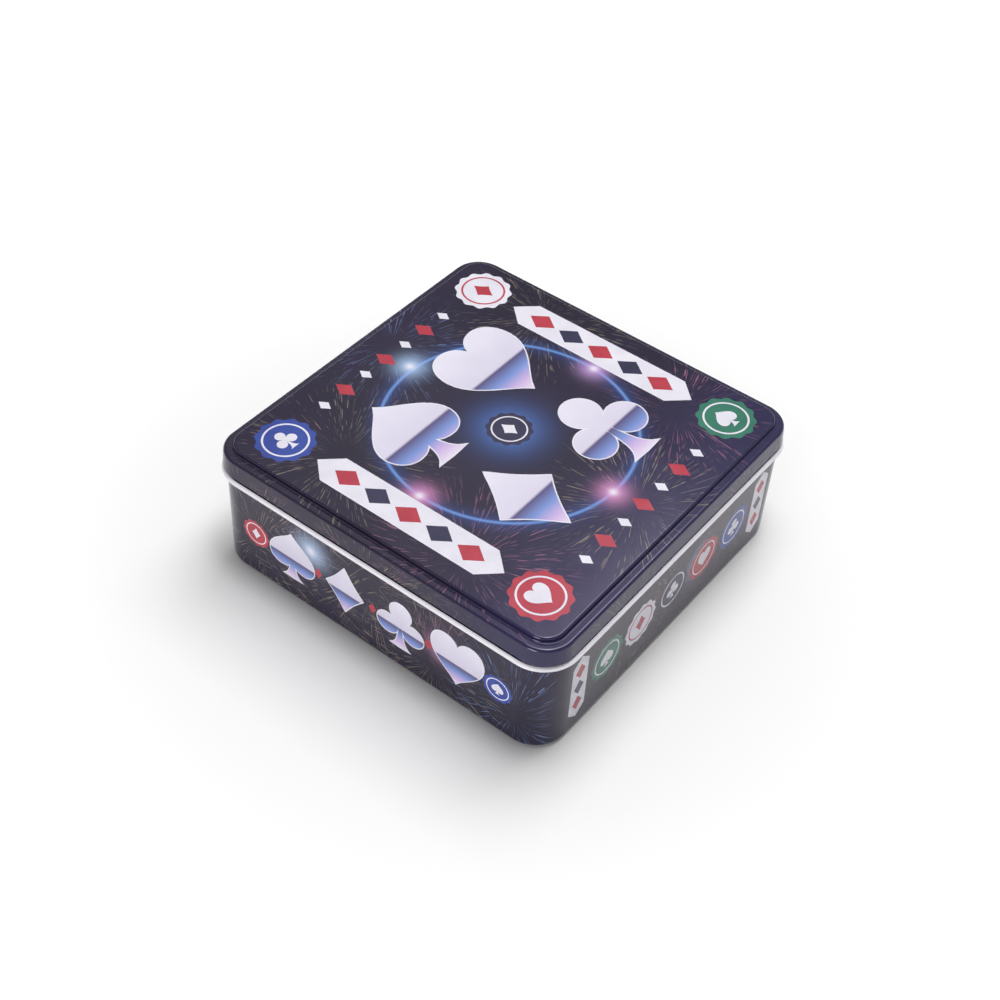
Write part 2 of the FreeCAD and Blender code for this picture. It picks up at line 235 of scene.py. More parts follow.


# The ground's colours, and the violet of a painted sheen
NIGHT = ((0.25, (0.007, 0.005, 0.018)), (0.75, (0.018, 0.012, 0.040)))
# Violet of a painted sheen on the lid's front: colour that stands in for the lid's reflection of the light
PAINTED_SHEEN_TINT = (0.017, 0.015, 0.068)
GOLD = (0.22, 0.18, 0.14)
ROSE = (0.24, 0.10, 0.17)
ICE = (0.12, 0.18, 0.36)

# The faces of the tin: the axis that each one faces along
TOP, SIDE_X, SIDE_Y = (0, 0, 1), (1, 0, 0), (0, 1, 0)
TOP_MM = PANEL_Z / MM
SIDE_MM = WALL_HALF / MM

# Bursts of streaks in the ground, in millimetres: the face they lie in, middle, reach, colour
BURSTS = (
    (TOP, (-52, 38, TOP_MM), 46, GOLD),
    (TOP, (8, 66, TOP_MM), 40, ICE),
    (TOP, (62, 30, TOP_MM), 44, GOLD),
    (TOP, (50, -44, TOP_MM), 40, ROSE),
    (TOP, (-2, -60, TOP_MM), 44, GOLD),
    (TOP, (-64, -30, TOP_MM), 46, ROSE),
    (SIDE_X, (-SIDE_MM, 58, 22), 40, GOLD),
    (SIDE_X, (-SIDE_MM, 26, 12), 42, GOLD),
    (SIDE_X, (-SIDE_MM, 2, 36), 42, GOLD),
    (SIDE_X, (-SIDE_MM, -30, 16), 40, GOLD),
    (SIDE_X, (-SIDE_MM, -66, 16), 38, ICE),
    (SIDE_X, (-SIDE_MM, 34, 54), 30, ROSE),
    (SIDE_X, (-SIDE_MM, -24, 52), 30, ROSE),
    (SIDE_Y, (-30, -SIDE_MM, 34), 42, GOLD),
    (SIDE_Y, (4, -SIDE_MM, 12), 42, ROSE),
    (SIDE_Y, (50, -SIDE_MM, 34), 42, GOLD),
    (SIDE_X, (SIDE_MM, -36, 18), 44, ICE),
    (SIDE_X, (SIDE_MM, 34, 30), 44, GOLD),
    (SIDE_Y, (36, SIDE_MM, 20), 44, ROSE),
    (SIDE_Y, (-34, SIDE_MM, 32), 44, GOLD),
)

# Soft lights in the ground have a pale core; in millimetres: middle, reach, colour
GLOW_STRENGTH = 0.8
GLOW_CORE = (0.85, 0.82, 0.92)
GLOW_CORE_SHARE = 0.3
GLOW_CORE_STRENGTH = 0.9
GLOWS = (
    ((0, 0, TOP_MM), 12.5, (0.08, 0.20, 0.60)),
    ((-50, 3, TOP_MM), 6.0, (0.75, 0.30, 0.58)),
    ((50, -4, TOP_MM), 6.0, (0.62, 0.36, 0.74)),
    ((3, 52, TOP_MM), 6.5, (0.42, 0.60, 0.88)),
    ((-2, -50, TOP_MM), 6.0, (0.75, 0.30, 0.58)),
    ((-SIDE_MM, 30, 34), 7.0, (0.48, 0.64, 0.90)),
    ((-SIDE_MM, -34, 26), 6.0, (0.75, 0.32, 0.60)),
    ((18, -SIDE_MM, 26), 7.0, (0.48, 0.60, 0.88)),
    ((-36, SIDE_MM, 26), 7.0, (0.75, 0.32, 0.60)),
    ((SIDE_MM, 8, 25), 7.0, (0.48, 0.64, 0.90)),
)

# The lid's thin ring of light: a wide faint band and a narrow bright one, by width, strength and colour
HALO_RADIUS = 50.0 * MM
HALO_BANDS = ((4.0 * MM, 0.35, (0.03, 0.08, 0.30)), (0.7 * MM, 0.8, (0.16, 0.34, 0.80)))

# Streaks: how fine the lines are round a burst and along it, the noise levels where they start and end,
# the shares of a burst's reach where it fades in and out, and how far apart two bursts' noise lies
LINE_FINENESS = 52.0
LINE_LEVELS = (0.54, 0.72)
DASH_FINENESS = 26.0
DASH_RATE = 9.0
DASH_LEVELS = (0.46, 0.64)
BURST_START = (0.08, 0.35)
BURST_END = (0.55, 1.0)
SEED_STEP = 31.0

# Directions, heights and places where the ground's parts and its painted sheen fade
TOP_FACING = (0.75, 0.95)
SIDE_FACING = (0.35, 0.75)
RIM_FADE = (SHOULDER_Z - 2.0 * MM, SHOULDER_Z - 0.5 * MM)
# The painted sheen covers the lid towards its front and fades out towards the back; how strong the painted
# sheen is
PAINTED_SHEEN_FADE = (-75.0 * MM, -15.0 * MM)
PAINTED_SHEEN_STRENGTH = 0.8


def faces_shown(graph, z):
    """How much a point belongs to the lid's top and to each pair of sides, from the way it faces."""
    facing = graph.node("ShaderNodeNewGeometry").outputs["Normal"]
    toward_x, toward_y, upward = graph.split(graph.vector("ABSOLUTE", facing))
    below_rim = graph.between(z, *RIM_FADE, 1.0, 0.0)
    return {
        TOP: graph.between(upward, *TOP_FACING),
        SIDE_X: graph.product(graph.between(toward_x, *SIDE_FACING), below_rim),
        SIDE_Y: graph.product(graph.between(toward_y, *SIDE_FACING), below_rim),
    }


def streaks(graph, place, face, centre, reach, seed):
    """How strongly a burst shows: fine lines out of its middle, broken into dashes."""
    offset = graph.vector("SUBTRACT", place, centre)
    radius = graph.vector("LENGTH", offset)
    in_face = graph.vector("MULTIPLY", offset, Vector((1, 1, 1)) - Vector(face))
    direction = graph.vector("NORMALIZE", in_face)
    along = graph.vector("SCALE", face, scale=graph.math("MULTIPLY_ADD", radius, DASH_RATE, seed))
    line = graph.noise(graph.vector("ADD", direction, Vector(face) * seed), LINE_FINENESS, detail=0.0)
    dash = graph.noise(graph.vector("ADD", direction, along), DASH_FINENESS, detail=0.0)
    return graph.product(
        graph.between(line, *LINE_LEVELS),
        graph.between(dash, *DASH_LEVELS),
        graph.between(radius, *(reach * share for share in BURST_START)),
        graph.between(radius, *(reach * share for share in BURST_END), 1.0, 0.0),
    )


def ground_print(part, gloss, faces):
    """The printed ground: near black, with bursts of fine streaks, a thin halo and soft lights, and a
    painted violet sheen over the front of the lid.
    """
    graph = Graph(part + "_ground")
    place = graph.place()
    _, y, z = graph.split(place)
    shown = faces_shown(graph, z)
    colour = graph.ramp(graph.noise(place, scale=16.0, detail=3.0), NIGHT)
    # Painted sheen: the front of the lid is tinted violet, as if it reflected light
    painted_sheen = graph.product(
        graph.between(y, *PAINTED_SHEEN_FADE, 1.0, 0.0), graph.between(z, BEAD_TOP_Z, SKIRT_Z), PAINTED_SHEEN_STRENGTH
    )
    colour = graph.blend(painted_sheen, colour, PAINTED_SHEEN_TINT)
    for number, (face, centre, reach, tint) in enumerate(BURSTS):
        if face in faces:
            streak = streaks(graph, place, face, Vector(centre) * MM, reach * MM, SEED_STEP * number)
            colour = graph.blend(graph.product(streak, shown[face]), colour, tint)
    plan = graph.vector("MULTIPLY", place, (1, 1, 0))
    from_ring = graph.math("SUBTRACT", graph.vector("LENGTH", plan), HALO_RADIUS)
    for width, strength, tint in HALO_BANDS:
        colour = graph.blend(graph.product(graph.bell(from_ring, width), strength), colour, tint)
    for centre, reach, tint in GLOWS:
        distance = graph.vector("DISTANCE", place, Vector(centre) * MM)
        light = graph.bell(distance, reach * MM)
        core = graph.bell(distance, reach * GLOW_CORE_SHARE * MM)
        colour = graph.blend(graph.product(light, GLOW_STRENGTH), colour, tint)
        colour = graph.blend(graph.product(core, GLOW_CORE_STRENGTH), colour, GLOW_CORE)
    return lacquered(graph, colour, gloss)


def chrome_print(part, gloss):
    """A printed chrome look: pale over a dark horizon that turns blue and violet towards the foot."""
    graph = Graph(part + "_chrome")
    uv = graph.node("ShaderNodeUVMap", {"uv_map": "print"}).outputs[0]
    _, height, _ = graph.split(uv)
    colour = graph.ramp(height, (
        (0.00, (0.80, 0.72, 0.86)),
        (0.14, (0.62, 0.46, 0.76)),
        (0.29, (0.20, 0.30, 0.66)),
        (0.43, (0.10, 0.08, 0.20)),
        (0.46, (0.70, 0.66, 0.80)),
        (1.00, (0.82, 0.79, 0.90)),
    ))
    return lacquered(graph, colour, gloss)


def ink_print(name, gloss, colour, darker):
    """One printed ink, laid down a little unevenly."""
    graph = Graph(name)
    patchy = graph.between(graph.noise(graph.place(), scale=120.0, detail=3.0), 0.35, 0.65)
    return lacquered(graph, graph.blend(patchy, darker, colour), gloss)


ENAMEL_RELIEF = 0.01 * MM
TIN_RELIEF = 0.006 * MM
TIN_GRAIN = (60.0, 2400.0, 900.0)


def white_enamel():
    """White stoving enamel on the rolled bead."""
    graph = Graph("white_enamel")
    place = graph.place()
    patchy = graph.noise(place, scale=180.0, detail=3.0)
    colour = graph.ramp(patchy, ((0.3, (0.94, 0.91, 0.99)), (0.7, (0.98, 0.95, 1.00))))
    roughness = graph.between(patchy, 0.3, 0.7, 0.28, 0.36)
    return graph.surface(colour, roughness, graph.noise(place, scale=700.0), ENAMEL_RELIEF)


def bare_tin():
    """Tinplate under clear lacquer, with the rolling direction in its grain."""
    graph = Graph("bare_tin")
    place = graph.place()
    grain = graph.noise(graph.vector("MULTIPLY", place, TIN_GRAIN), scale=1.0, detail=3.0)
    cloud = graph.noise(place, scale=60.0, detail=3.0)
    colour = graph.ramp(cloud, ((0.3, (0.60, 0.60, 0.62)), (0.7, (0.72, 0.72, 0.73))))
    roughness = graph.between(grain, 0.3, 0.7, 0.26, 0.42)
    return graph.surface(colour, roughness, grain, TIN_RELIEF, Metallic=1.0)


# The inks, each with the darker tone of its thin places
INKS = {
    "white": ((0.82, 0.80, 0.88), (0.77, 0.75, 0.84)),
    "red": ((0.50, 0.045, 0.065), (0.44, 0.035, 0.055)),
    "blue": ((0.035, 0.075, 0.36), (0.03, 0.06, 0.31)),
    "green": ((0.035, 0.20, 0.13), (0.03, 0.17, 0.11)),
    "navy": ((0.030, 0.030, 0.075), (0.024, 0.024, 0.06)),
}
PRINT_INDEX = {name: index for index, name in enumerate(("ground", "chrome", *INKS))}
ENAMEL_INDEX = len(PRINT_INDEX)
TIN_INDEX = len(PRINT_INDEX) + 1
ENAMEL = white_enamel()
TIN = bare_tin()


def sheet_materials(part, gloss, faces):
    """The materials of one part of the tin, in the order of their indices."""
    inks = [ink_print(f"{part}_{name}", gloss, *colours) for name, colours in INKS.items()]
    return [ground_print(part, gloss, faces), chrome_print(part, gloss), *inks, ENAMEL, TIN]


def curve(points, steps=12):
    """Points along joined cubic curves: an end, two handles, an end, two handles, and so on."""
    points = [Vector(p) for p in points]
    found = [points[0]]
    for a, b, c, d in zip(points[0::3], points[1::3], points[2::3], points[3::3]):
        for step in range(1, steps + 1):
            t = step / steps
            s = 1 - t
            found.append(a * s**3 + b * (3 * s * s * t) + c * (3 * s * t * t) + d * t**3)
    return found


def both_sides(right):
    """A closed loop from its right half, which starts and ends on the middle line."""
    return right + [Vector((-p.x, p.y)) for p in reversed(right[1:-1])]


def disc(radius, centre, steps=48, lobes=0, depth=0.0):
    """A round loop, or a scalloped one with a number of lobes."""
    loop = []
    for step in range(steps):
        angle = 2 * math.pi * step / steps
        reach = radius * (1 + depth * math.cos(lobes * angle))
        loop.append(Vector(centre) + Vector((math.cos(angle), math.sin(angle))) * reach)
    return loop


# Outlines of the suits, as shares of half their height
HEART = both_sides(curve((
    (0, -1), (0.16, -0.66), (1.0, -0.26),
    (1.0, 0.38), (1.0, 0.76), (0.78, 1.0),
    (0.5, 1.0), (0.24, 1.0), (0.05, 0.84), (0, 0.58),
)))
DIAMOND = both_sides(curve((
    (0, 1), (0.2, 0.64), (0.46, 0.28),
    (0.76, 0), (0.46, -0.28), (0.2, -0.64), (0, -1),
)))
STEM = both_sides(curve((
    (0, 0.1), (0.05, 0.0), (0.07, -0.1),
    (0.08, -0.2), (0.1, -0.66), (0.2, -0.92), (0.42, -1.0),
), 8) + [Vector((0, -1))])
SPADE_BLADE = [Vector((p.x * 0.94, 0.2 - 0.8 * p.y)) for p in reversed(HEART)]
CLUB_LOBES = [disc(0.42, centre) for centre in ((0, 0.57), (-0.5, -0.14), (0.5, -0.14))]
CLUB_MIDDLE = disc(0.24, (0, 0.12))
SUITS = {
    "heart": [HEART],
    "diamond": [DIAMOND],
    "spade": [SPADE_BLADE, STEM],
    "club": [*CLUB_LOBES, CLUB_MIDDLE, STEM],
}


def placed(loop, centre, scale):
    return [Vector(centre) + p * scale for p in loop]


def grown(loop, margin):
    """A loop moved outward by a margin, whichever way round it runs."""
    area = sum(a.x * b.y - b.x * a.y for a, b in zip(loop, loop[1:] + loop[:1]))
    turn = 1 if area > 0 else -1
    moved = []
    for before, point, after in zip(loop[-1:] + loop[:-1], loop, loop[1:] + loop[:1]):
        first = (point - before).normalized()
        second = (after - point).normalized()
        outward = Vector((first.y + second.y, -first.x - second.x)) * turn
        outward = outward.normalized() if outward.length > NEAR else first
        moved.append(point + outward * margin)
    return moved


def suit_motif(kind, centre, half_height, ink, outline=0.0):
    """Loops of a suit with their ink, lowest first, and the box that its chrome runs over."""
    box = (centre[1] - half_height, half_height * 2)
    loops = [placed(loop, centre, half_height) for loop in SUITS[kind]]
    motif = [(grown(loop, outline), "white", None) for loop in loops] if outline else []
    return motif + [(loop, ink, box) for loop in loops]


# A roundel's scallops, and its ring and suit as shares of its radius
SCALLOPS = {"steps": 96, "lobes": 12, "depth": 0.045}
RING_OUTSIDE = 0.80
RING_INSIDE = 0.73
ROUNDEL_SUIT_HALF = 0.44


def roundel_motif(kind, centre, radius, ink, pale):
    """A scalloped roundel with a ring and a suit in a second ink."""
    return [
        (disc(radius, centre, **SCALLOPS), ink, None),
        (disc(radius * RING_OUTSIDE, centre), pale, None),
        (disc(radius * RING_INSIDE, centre), ink, None),
        *suit_motif(kind, centre, radius * ROUNDEL_SUIT_HALF, pale),
    ]


def lozenge(centre, half_width, half_height, ink):
    tips = ((0, -half_height), (half_width, 0), (0, half_height), (-half_width, 0))
    return ([Vector(centre) + Vector(tip) for tip in tips], ink, None)


def band_motif(centre, half_width, half_straight, half_length, count, pitch, lozenge_size):
    """A white band with pointed ends, and a row of red and navy lozenges along it."""
    outline = (
        (0, -half_length), (half_width, -half_straight), (half_width, half_straight),
        (0, half_length), (-half_width, half_straight), (-half_width, -half_straight),
    )
    motifs = [([Vector(centre) + Vector(p) for p in outline], "white", None)]
    for step in range(count):
        place = Vector(centre) + Vector((0, (step - (count - 1) / 2) * pitch))
        motifs.append(lozenge(place, *lozenge_size, "navy" if step % 2 else "red"))
    return motifs


# The lid's design, in millimetres from its middle
LID_SUIT_X = 25.0
LID_SUIT_Y = 27.0
LID_SUIT_HALF = 20.0
LID_OUTLINE = 0.55
LID_ROUNDEL_PLACE = 60.0
LID_ROUNDEL_RADIUS = 11.5
MIDDLE_ROUNDEL_RADIUS = 9.0
LID_BAND_X = 60.0
LID_BAND = {"half_width": 7.5, "half_straight": 36.0, "half_length": 44.0}
LID_BAND_ROW = {"count": 5, "pitch": 14.5, "lozenge_size": (4.6, 6.2)}
LID_ROW_Y = 62.0
LID_ROW_PITCH = 12.0
LARGE_LOZENGE = (3.4, 5.0)
SMALL_LOZENGE = (2.2, 3.2)

# The sides' design, in millimetres: along from a side's middle, and up from the tin's foot
SIDE_Z = 24.2
SIDE_SUIT_PLACES = (-40.0, -13.5, 13.5, 40.0)
SIDE_SUIT_HALF = 12.0
SIDE_OUTLINE = 0.4
SIDE_LOZENGE_PLACES = (-26.7, 0.0, 26.7)
SIDE_LOZENGE = (1.8, 2.8)
END_ROUNDEL_PLACE = 58.5
END_ROUNDEL_RADIUS = 6.4
SIDE_ROUNDEL_PITCH = 21.5
SIDE_ROUNDEL_RADIUS = 9.6
SIDE_BAND_PLACE = 60.5
SIDE_BAND = {"half_width": 4.8, "half_straight": 13.0, "half_length": 17.0}
SIDE_BAND_ROW = {"count": 3, "pitch": 9.0, "lozenge_size": (2.9, 3.9)}


def lid_motifs():
    """The lid's design, the front at the bottom: four large suits round a middle roundel."""
    motifs = []
    for kind, side, row in (("spade", -1, 1), ("heart", 1, 1), ("diamond", -1, -1), ("club", 1, -1)):
        place = (side * LID_SUIT_X, row * LID_SUIT_Y)
        motifs += suit_motif(kind, place, LID_SUIT_HALF, "chrome", LID_OUTLINE)
    for kind, side, row, ink, pale in (
        ("club", -1, 1, "blue", "white"),
        ("diamond", 1, 1, "white", "red"),
        ("heart", -1, -1, "red", "white"),
        ("spade", 1, -1, "green", "white"),
    ):
        place = (side * LID_ROUNDEL_PLACE, row * LID_ROUNDEL_PLACE)
        motifs += roundel_motif(kind, place, LID_ROUNDEL_RADIUS, ink, pale)
    motifs += roundel_motif("diamond", (0, 0), MIDDLE_ROUNDEL_RADIUS, "navy", "white")
    for side in (-1, 1):
        motifs += band_motif((side * LID_BAND_X, 0), **LID_BAND, **LID_BAND_ROW)
        for step in range(-3, 4):
            size, ink = (SMALL_LOZENGE, "white") if step % 2 else (LARGE_LOZENGE, "red")
            motifs.append(lozenge((step * LID_ROW_PITCH, side * LID_ROW_Y), *size, ink))
    return motifs


def suits_side(order):
    """A side with a row of four large suits, from left to right, and roundels at its ends."""
    motifs = []
    for kind, x in zip(order, SIDE_SUIT_PLACES):
        motifs += suit_motif(kind, (x, SIDE_Z), SIDE_SUIT_HALF, "chrome", SIDE_OUTLINE)
    for x in SIDE_LOZENGE_PLACES:
        motifs.append(lozenge((x, SIDE_Z), *SIDE_LOZENGE, "red"))
    for side, kind, ink in ((-1, "diamond", "red"), (1, "spade", "blue")):
        motifs += roundel_motif(kind, (side * END_ROUNDEL_PLACE, SIDE_Z), END_ROUNDEL_RADIUS, ink, "white")
    return motifs


def roundels_side():
    """A side with a row of five roundels and a band of lozenges at each end."""
    motifs = []
    for step, kind, ink, pale in (
        (-2, "spade", "green", "white"),
        (-1, "diamond", "white", "red"),
        (0, "club", "navy", "white"),
        (1, "heart", "red", "white"),
        (2, "club", "blue", "white"),
    ):
        motifs += roundel_motif(kind, (step * SIDE_ROUNDEL_PITCH, SIDE_Z), SIDE_ROUNDEL_RADIUS, ink, pale)
    for side in (-1, 1):
        motifs += band_motif((side * SIDE_BAND_PLACE, SIDE_Z), **SIDE_BAND, **SIDE_BAND_ROW)
    return motifs


def inside(points, loop):
    """Which of the points, an array of x and y, lie inside a loop."""
    ring = np.array([tuple(p) for p in loop])
    result = np.zeros(len(points), int)
    for (x0, y0), (x1, y1) in zip(ring, np.roll(ring, -1, 0)):
        side = (x1 - x0) * (points[:, 1] - y0) - (points[:, 0] - x0) * (y1 - y0)
        result += ((y0 <= points[:, 1]) & (y1 > points[:, 1]) & (side > 0)).astype(int)
        result -= ((y0 > points[:, 1]) & (y1 <= points[:, 1]) & (side < 0)).astype(int)
    return result != 0


def imprint(boundary, motifs):
    """A flat region cut along the motifs: its points, triangles, their inks and heights in the chrome."""
    points, edges = [], []
    for loop in [boundary] + [motif[0] for motif in motifs]:
        start = len(points)
        points += loop
        edges += [(start + i, start + (i + 1) % len(loop)) for i in range(len(loop))]
    found, _, triangles = delaunay_2d_cdt(points, edges, [], 0, NEAR, False)[:3]
    flat = np.array([tuple(p) for p in found])
    middles = flat[np.array(triangles)].mean(1)
    inks = np.full(len(triangles), PRINT_INDEX["ground"])
    boxes = [None] * len(triangles)
    for loop, ink, box in motifs:
        for index in np.nonzero(inside(middles, loop))[0]:
            inks[index] = PRINT_INDEX[ink]
            boxes[index] = box
    heights = [
        [(flat[i][1] - box[0]) / box[1] if box else 0.0 for i in triangle]
        for triangle, box in zip(triangles, boxes)
    ]
    return flat, triangles, inks, heights


def section(corners):
    """A sheet's outer points with their outward directions, from (reach, height, rounding) corners."""
    found = []
    places = [Vector(c[:2]) for c in corners]
    for index, here in enumerate(places):
        rounding = corners[index][2]
        arrive = (here - places[index - 1]).normalized() if index else None
        leave = (places[index + 1] - here).normalized() if index + 1 < len(places) else arrive
        arrive = arrive or leave
        if rounding == 0:
            found.append((here, Vector((leave.y, -leave.x))))
            continue
        turn = arrive.angle_signed(leave)
        start = here - arrive * (rounding * math.tan(abs(turn) / 2))
        normal = Vector((arrive.y, -arrive.x))
        radius = math.copysign(rounding, turn)
        centre = start + normal * radius
        for step in range(ARC_STEPS + 1):
            turned = Matrix.Rotation(-turn * step / ARC_STEPS, 2) @ normal
            found.append((centre - turned * radius, turned))
    return found


def plan_turns(corner_centre):
    """Corner centres with directions, round the tin: one entry for each line of points up the sheet."""
    turns = []
    for corner, (side, row) in enumerate(CORNER_SIGNS):
        centre = Vector((side, row)) * corner_centre
        for step in range(TURN_STEPS + 1):
            angle = math.pi / 2 * (corner + step / TURN_STEPS)
            turns.append((centre, Vector((math.cos(angle), math.sin(angle)))))
    return turns


def link(name, data):
    """A new object of the scene."""
    thing = bpy.data.objects.new(name, data)
    bpy.context.scene.collection.objects.link(thing)
    return thing


class SheetMesh:
    """Collects faces with their materials, point normals and chrome heights, and makes the object."""

    def __init__(self):
        self.mesh = bmesh.new()
        self.normal = self.mesh.verts.layers.float_vector.new("facing")
        self.uv = self.mesh.loops.layers.uv.new("print")

    def point(self, place, normal):
        vertex = self.mesh.verts.new(place)
        vertex[self.normal] = normal
        return vertex

    def face(self, points, material, heights=None):
        face = self.mesh.faces.new(points)
        face.material_index = int(material)
        face.smooth = True
        for loop, height in zip(face.loops, heights or [0.0] * len(points)):
            loop[self.uv].uv = (0.5, height)

    def finished(self, name, materials):
        bmesh.ops.remove_doubles(self.mesh, verts=self.mesh.verts, dist=NEAR)
        data = bpy.data.meshes.new(name)
        self.mesh.to_mesh(data)
        self.mesh.free()
        facing = [tuple(value.vector) for value in data.attributes["facing"].data]
        data.normals_split_custom_set_from_vertices(facing)
        data.attributes.remove(data.attributes["facing"])
        for material in materials:
            data.materials.append(material)
        return link(name, data)


def ring_points(made, profile, turns, flip):
    """Lines of points round the tin, one line for each entry of the profile."""
    rows = []
    for place, outward in profile:
        row = []
        for centre, direction in turns:
            spot = centre + direction * (place.x - abs(centre.x))
            normal = Vector((direction.x * outward.x, direction.y * outward.x, outward.y))
            row.append(made.point((spot.x, spot.y, place.y), -normal if flip else normal))
        rows.append(row)
    return rows


def ring_faces(made, rows, material_of, flip, skipped=()):
    """Faces between the lines of points, but for the skipped pairs of row and column."""
    count = len(rows[0])
    for row in range(len(rows) - 1):
        for column in range(count):
            if (row, column) in skipped:
                continue
            after = (column + 1) % count
            corners = [rows[row][column], rows[row][after], rows[row + 1][after], rows[row + 1][column]]
            made.face(list(reversed(corners)) if flip else corners, material_of(row))


def all_tin(row):
    return TIN_INDEX


def add_print(made, edge, motifs, place_of, normal):
    """A flat region with its motifs; place_of takes a point of the design to its place on the tin."""
    flat, triangles, inks, heights = imprint([Vector(p) / MM for p in edge], motifs)
    points = [made.point(place_of(u * MM, v * MM), normal) for u, v in flat]
    for triangle, ink, height in zip(triangles, inks, heights):
        made.face([points[i] for i in triangle], ink, height)


def inner_profile(profile):
    """The sheet's inner side, a thickness away from its outer one."""
    return [(place - outward * SHEET, outward) for place, outward in profile]


def on_enamel(place):
    return place.x > ENAMEL_HALF - NEAR and place.y > ENAMEL_Z


def evened(profile):
    """A profile whose directions are drawn together on the bead, so that its enamel shades evenly."""
    directions = []
    for place, outward in profile:
        drawn = outward.lerp(ENAMEL_LEAN, ENAMEL_EVENNESS).normalized()
        directions.append((place, drawn if on_enamel(place) else outward))
    return directions


def make_body():
    """The tin's body, with the print cut into the flat of each side."""
    made = SheetMesh()
    turns = plan_turns(BODY_CORNER_CENTRE)
    stand_half = WALL_HALF - BASE_ROUND - STAND_WIDTH
    recess_half = stand_half - BASE_RECESS
    corners = (
        (recess_half - BASE_FLAT_EDGE, BASE_RECESS, 0),
        (recess_half, BASE_RECESS, BASE_RECESS_ROUND),
        (stand_half, 0, BASE_RECESS_ROUND),
        (WALL_HALF, 0, BASE_ROUND),
        (WALL_HALF, BEAD_BOTTOM_Z, BEAD_ROOT_ROUND),
        (BEAD_HALF, BEAD_BOTTOM_Z, BEAD_ROUND),
        (BEAD_HALF, BEAD_TOP_Z, BEAD_ROUND),
        (ENAMEL_HALF, BEAD_TOP_Z, 0),
        (NECK_HALF, BEAD_TOP_Z, BEAD_ROOT_ROUND),
        (NECK_HALF, NECK_TOP_Z, CURL_ROUND),
        (MOUTH_HALF, NECK_TOP_Z, CURL_ROUND),
        (MOUTH_HALF, NECK_TOP_Z - CURL_DROP, 0),
    )
    profile = section(corners)
    outer = ring_points(made, evened(profile), turns, False)
    inner = ring_points(made, inner_profile(profile), turns, True)
    # Upward from the base: its flat edge, its two rounds, the round foot, the wall
    base_rows = 1 + 2 * (ARC_STEPS + 1)
    wall_row = base_rows + ARC_STEPS

    def outer_material(row):
        middle = (profile[row][0] + profile[row + 1][0]) / 2
        if row < base_rows or middle.y > NECK_TOP_Z - CURL_ROUND:
            return TIN_INDEX
        # On the bead's top under the skirt and on the neck, the dark ground is painted shade for the gap
        # under the lid
        return ENAMEL_INDEX if on_enamel(middle) else PRINT_INDEX["ground"]

    flats = [(wall_row, column) for column in range(TURN_STEPS, len(turns), TURN_STEPS + 1)]
    ring_faces(made, outer, outer_material, False, flats)
    ring_faces(made, inner, all_tin, True)
    ring_faces(made, [outer[-1], inner[-1]], all_tin, False)
    made.face(list(reversed(outer[0])), TIN_INDEX)
    made.face(inner[0], TIN_INDEX)
    low, high = profile[wall_row][0].y, profile[wall_row + 1][0].y
    half = BODY_CORNER_CENTRE
    edge = ((-half, low), (half, low), (half, high), (-half, high))
    sides = (
        suits_side(("heart", "club", "diamond", "spade")),
        roundels_side(),
        suits_side(("spade", "diamond", "club", "heart")),
        roundels_side(),
    )
    for quarter, motifs in enumerate(sides):
        turn = Matrix.Rotation(math.pi / 2 * quarter, 3, "Z")

        def on_side(u, v):
            return turn @ Vector((WALL_HALF, u, v))

        add_print(made, edge, motifs, on_side, turn @ Vector((1, 0, 0)))
    return made.finished("printed_tin_body", sheet_materials("body", BODY_GLOSS, (SIDE_X, SIDE_Y)))


def make_lid():
    """The slip lid, with the print cut into its flat panel."""
    made = SheetMesh()
    turns = plan_turns(LID_CORNER_CENTRE)
    hem_half = SKIRT_HALF - HEM_WIDTH
    corners = (
        (hem_half, SKIRT_Z + HEM_HEIGHT, 0),
        (hem_half, SKIRT_Z, HEM_ROUND),
        (SKIRT_HALF, SKIRT_Z, HEM_ROUND),
        (WALL_HALF, SHOULDER_Z, SHOULDER_ROUND),
        (PANEL_HALF + GROOVE_DRAFT, SHOULDER_Z - GROOVE_DEPTH, GROOVE_ROUND),
        (PANEL_HALF, PANEL_Z, PANEL_ROUND),
        (PANEL_HALF - PANEL_ROUND * 2, PANEL_Z, 0),
    )
    # The last corner only gives the panel's direction
    profile = section(corners)[:-1]
    outer = ring_points(made, profile, turns, False)
    inner = ring_points(made, inner_profile(profile), turns, True)
    hem_rows = 1 + (ARC_STEPS + 1)

    def outer_material(row):
        return TIN_INDEX if row < hem_rows else PRINT_INDEX["ground"]

    def on_panel(u, v):
        return Vector((u, v, PANEL_Z))

    ring_faces(made, outer, outer_material, False)
    ring_faces(made, inner, all_tin, True)
    ring_faces(made, [inner[0], outer[0]], all_tin, False)
    made.face(list(reversed(inner[-1])), TIN_INDEX)
    edge = [vertex.co.xy for vertex in outer[-1]]
    add_print(made, edge, lid_motifs(), on_panel, Vector((0, 0, 1)))
    return made.finished("printed_tin_lid", sheet_materials("lid", LID_GLOSS, (TOP, SIDE_X, SIDE_Y)))


